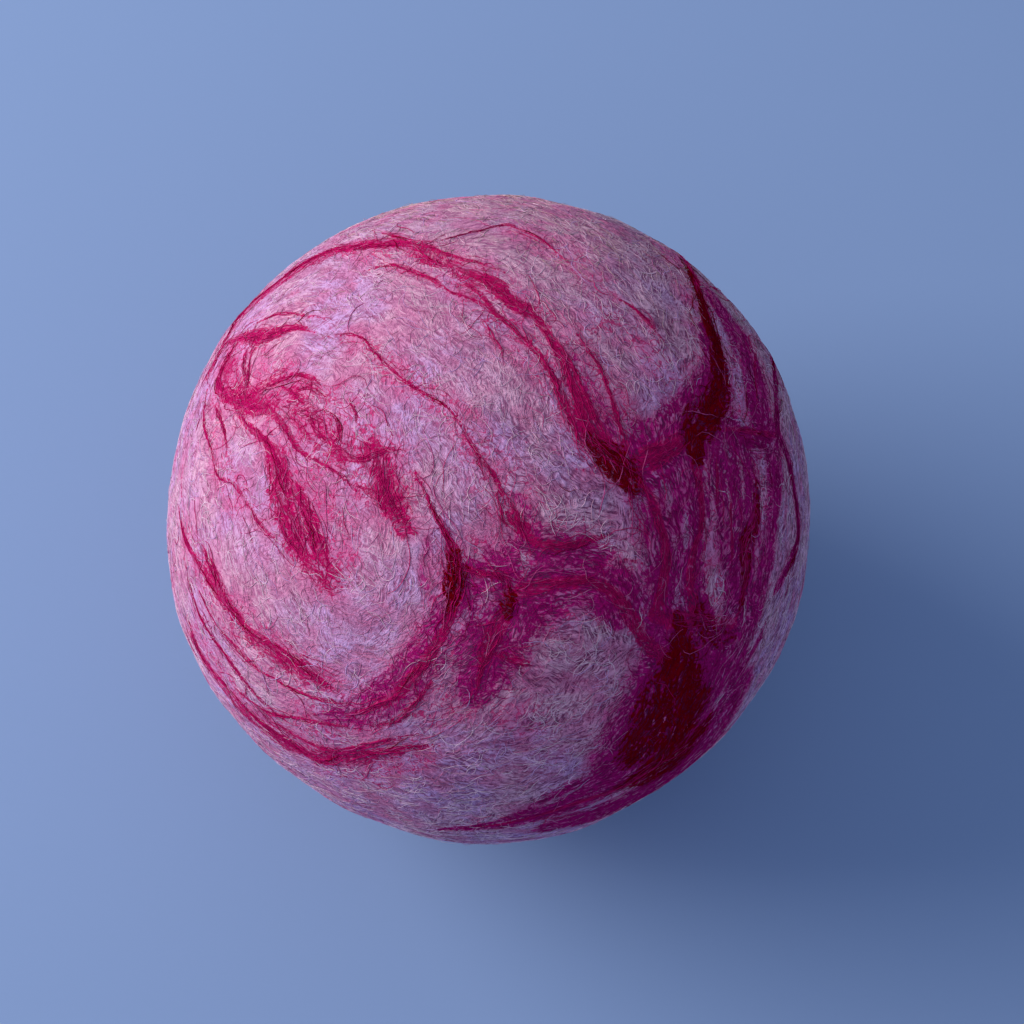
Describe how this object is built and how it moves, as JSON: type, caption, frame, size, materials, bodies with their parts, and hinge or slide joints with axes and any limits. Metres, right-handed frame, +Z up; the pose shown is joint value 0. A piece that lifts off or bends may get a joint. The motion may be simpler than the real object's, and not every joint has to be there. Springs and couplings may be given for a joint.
{
  "type": "dryer ball",
  "caption": "Felted wool ball for a tumble dryer: wound core, crossed wool wraps and a pale outer felt with dyed wisps, on a small pressed flat.",
  "frame": {"origin": "centre of the small pressed flat that the ball stands on", "axes": "+Z up through the ball's centre; the show side, with most of the dyed wisps, faces -Y and 68 degrees up; +X is to the right when the show side is looked at"},
  "size_m": [0.07, 0.07, 0.0695],
  "materials": {
    "pale_wool": "matted pale pink felt, dull with a soft fuzz",
    "magenta_wool": "magenta dyed roving, felted in, dull",
    "crimson_wool": "deep crimson dyed roving, felted in, dull",
    "purple_wool": "thin purple-magenta veil of dyed roving, dull",
    "batt_wool": "undyed wool batt, matted",
    "core_yarn": "undyed wool yarn, wound"
  },
  "bodies": {
    "root": {"first_wrap": "batt_wool", "outer_roving": "pale_wool", "second_wrap": "batt_wool", "third_wrap": "batt_wool", "wisp_back_band": "crimson_wool", "wisp_back_curl": "magenta_wool", "wisp_back_fork": "magenta_wool", "wisp_back_patch": "magenta_wool", "wisp_back_rim": "magenta_wool", "wisp_back_sweep": "magenta_wool", "wisp_back_thread": "magenta_wool", "wisp_back_veil": "purple_wool", "wisp_centre_net": "magenta_wool", "wisp_crown_sweep": "crimson_wool", "wisp_crown_threads": "magenta_wool", "wisp_dark_pool": "crimson_wool", "wisp_heart_patch": "magenta_wool", "wisp_inner_curl": "magenta_wool", "wisp_left_arc": "magenta_wool", "wisp_left_fork": "magenta_wool", "wisp_left_knot": "magenta_wool", "wisp_left_loops": "magenta_wool", "wisp_left_strand": "magenta_wool", "wisp_long_thread": "magenta_wool", "wisp_lower_left_rim": "magenta_wool", "wisp_lower_rim": "purple_wool", "wisp_right_band": "crimson_wool", "wisp_right_rim": "purple_wool", "wisp_right_veil": "purple_wool", "yarn_ball": "core_yarn"}
  },
  "joints": []
}
